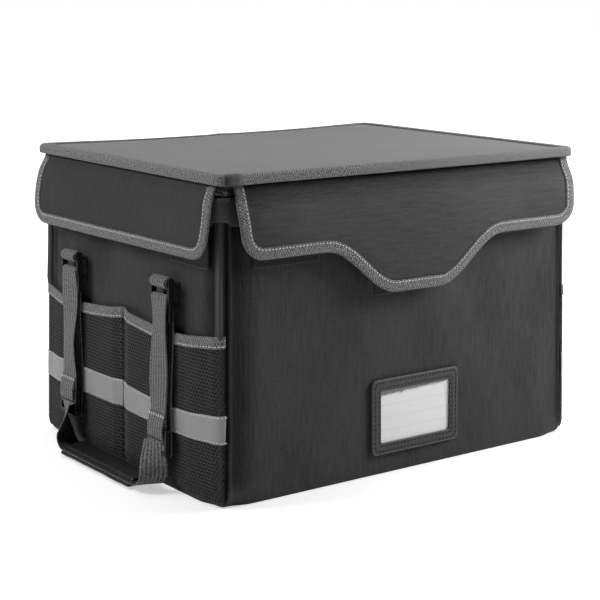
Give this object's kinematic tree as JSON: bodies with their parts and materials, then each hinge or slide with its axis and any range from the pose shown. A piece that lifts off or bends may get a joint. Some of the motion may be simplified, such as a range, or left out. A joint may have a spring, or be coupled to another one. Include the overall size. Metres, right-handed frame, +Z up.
{
  "type": "portable file box",
  "caption": "Fabric-covered file box with a bound flip lid, hook-and-loop flaps, mesh side pockets, webbing carry handles and a label holder.",
  "frame": {"origin": "middle of the body's bottom face, on the floor", "axes": "+X to the right along the front, +Y towards the hinge at the back, +Z up"},
  "size_m": [0.4848, 0.3371, 0.2862],
  "materials": {
    "wall_fabric": "matte",
    "side_fabric": "matte",
    "lining_fabric": "matte",
    "lid_fabric": "matte",
    "binding_tape": "matte",
    "fibreboard": "matte",
    "mesh_fabric": "matte",
    "reflective_tape": "satin",
    "webbing": "matte",
    "hook_and_loop": "matte",
    "rail_metal": "satin",
    "black_plastic": "satin",
    "leather": "satin",
    "clear_film": "gloss",
    "card": "matte"
  },
  "bodies": {
    "body": {"front_cover": "wall_fabric", "back_cover": "wall_fabric", "corner_seams": "wall_fabric", "rim_hem": "wall_fabric", "mouth_collar": "wall_fabric", "bottom_cover": "wall_fabric", "hinge_body_strip": "wall_fabric", "left_cover": "side_fabric", "right_cover": "side_fabric", "front_board": "fibreboard", "back_board": "fibreboard", "left_boards": "fibreboard", "right_boards": "fibreboard", "base_board": "fibreboard", "inner_lining": "lining_fabric", "left_rail": "rail_metal", "right_rail": "rail_metal", "front_loop_patches": "hook_and_loop", "left_loop_patches": "hook_and_loop", "right_loop_patches": "hook_and_loop", "label_backing": "leather", "label_frame": "leather", "label_window": "clear_film", "left_pocket_front": "mesh_fabric", "left_pocket_rear": "mesh_fabric", "right_pocket_front": "mesh_fabric", "right_pocket_rear": "mesh_fabric", "left_pocket_binding": "binding_tape", "right_pocket_binding": "binding_tape", "left_reflective_strip": "reflective_tape", "right_reflective_strip": "reflective_tape", "left_anchor_loops": "webbing", "right_anchor_loops": "webbing"},
    "lid": {"lid_board": "fibreboard", "lid_cover": "lid_fabric", "lid_lining": "lining_fabric", "lid_binding": "binding_tape", "hinge_lid_strip": "wall_fabric"},
    "front_flap": {"front_flap_panel": "wall_fabric", "front_flap_binding": "binding_tape", "front_flap_hooks": "hook_and_loop"},
    "left_flap": {"left_flap_panel": "side_fabric", "left_flap_binding": "binding_tape", "left_flap_hooks": "hook_and_loop"},
    "right_flap": {"right_flap_panel": "side_fabric", "right_flap_binding": "binding_tape", "right_flap_hooks": "hook_and_loop"},
    "left_handle": {"left_buckles": "black_plastic", "left_webbing": "webbing", "left_grip": "leather"},
    "right_handle": {"right_buckles": "black_plastic", "right_webbing": "webbing", "right_grip": "leather"},
    "left_front_slider": {"left_front_slider": "black_plastic"},
    "left_rear_slider": {"left_rear_slider": "black_plastic"},
    "right_front_slider": {"right_front_slider": "black_plastic"},
    "right_rear_slider": {"right_rear_slider": "black_plastic"},
    "label_card": {"label_card": "card"}
  },
  "joints": [
    {"name": "lid_hinge", "type": "hinge", "parent": "body", "child": "lid", "pos_m": [0, 0.1558, 0.273], "axis": [-1, 0, 0], "range_deg": [0, 105]},
    {"name": "front_flap_hinge", "type": "hinge", "parent": "lid", "child": "front_flap", "pos_m": [0, -0.16053, 0.27724], "axis": [-1, 0, 0], "range_deg": [0, 110]},
    {"name": "left_flap_hinge", "type": "hinge", "parent": "lid", "child": "left_flap", "pos_m": [-0.20603, 0.00305, 0.27724], "axis": [0, 1, 0], "range_deg": [0, 110]},
    {"name": "right_flap_hinge", "type": "hinge", "parent": "lid", "child": "right_flap", "pos_m": [0.20603, 0.00305, 0.27724], "axis": [0, -1, 0], "range_deg": [0, 110]},
    {"name": "left_handle_swing", "type": "hinge", "parent": "body", "child": "left_handle", "pos_m": [-0.21447, 0, 0.18769], "axis": [0, 1, 0], "range_deg": [0, 160]},
    {"name": "right_handle_swing", "type": "hinge", "parent": "body", "child": "right_handle", "pos_m": [0.21447, 0, 0.18769], "axis": [0, -1, 0], "range_deg": [0, 160]},
    {"name": "left_front_slider_travel", "type": "slide", "parent": "left_handle", "child": "left_front_slider", "axis": [0.0209, 0, 0.9998], "range_m": [0, 0.08]},
    {"name": "left_rear_slider_travel", "type": "slide", "parent": "left_handle", "child": "left_rear_slider", "axis": [0.0209, 0, 0.9998], "range_m": [0, 0.08]},
    {"name": "right_front_slider_travel", "type": "slide", "parent": "right_handle", "child": "right_front_slider", "axis": [-0.0209, 0, 0.9998], "range_m": [0, 0.08]},
    {"name": "right_rear_slider_travel", "type": "slide", "parent": "right_handle", "child": "right_rear_slider", "axis": [-0.0209, 0, 0.9998], "range_m": [0, 0.08]},
    {"name": "label_card_slide", "type": "slide", "parent": "body", "child": "label_card", "axis": [0, 0.0209, 0.9998], "range_m": [0, 0.06]}
  ]
}
